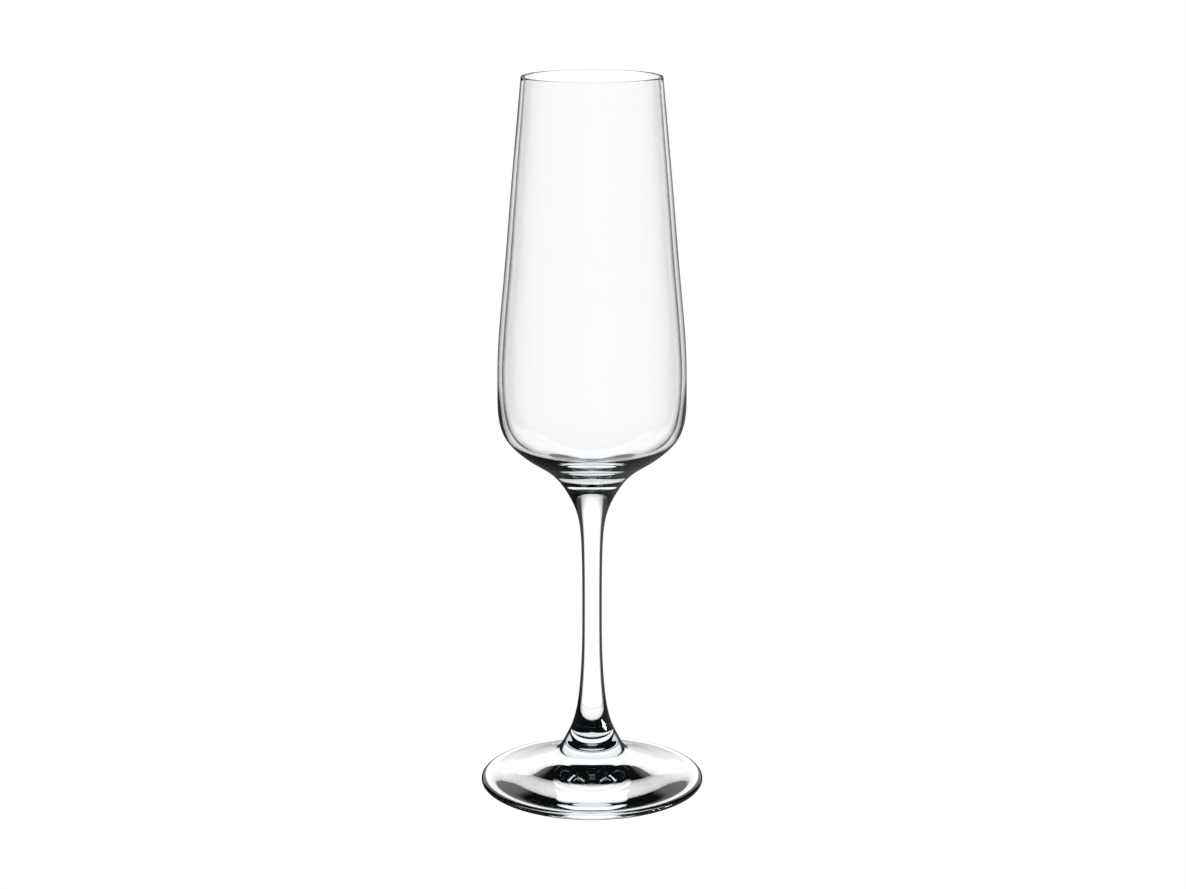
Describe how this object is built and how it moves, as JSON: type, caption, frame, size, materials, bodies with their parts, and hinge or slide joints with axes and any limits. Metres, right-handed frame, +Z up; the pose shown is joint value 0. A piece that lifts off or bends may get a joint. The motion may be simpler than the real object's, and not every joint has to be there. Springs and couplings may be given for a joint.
{
  "type": "champagne flute",
  "caption": "Tall stemmed glass for sparkling wine: a slim bowl that narrows to the mouth, a long solid stem and a shallow round foot.",
  "frame": {"origin": "centre of the foot's resting ring, on the surface that the glass stands on", "axes": "+Z up along the stem to the mouth; the glass is round about Z, so +X and +Y are any two level directions at right angles"},
  "size_m": [0.071, 0.071, 0.225],
  "materials": {
    "clear_glass": "polished, colourless"
  },
  "bodies": {
    "root": {"bowl": "clear_glass", "stem": "clear_glass", "foot": "clear_glass"}
  },
  "joints": []
}
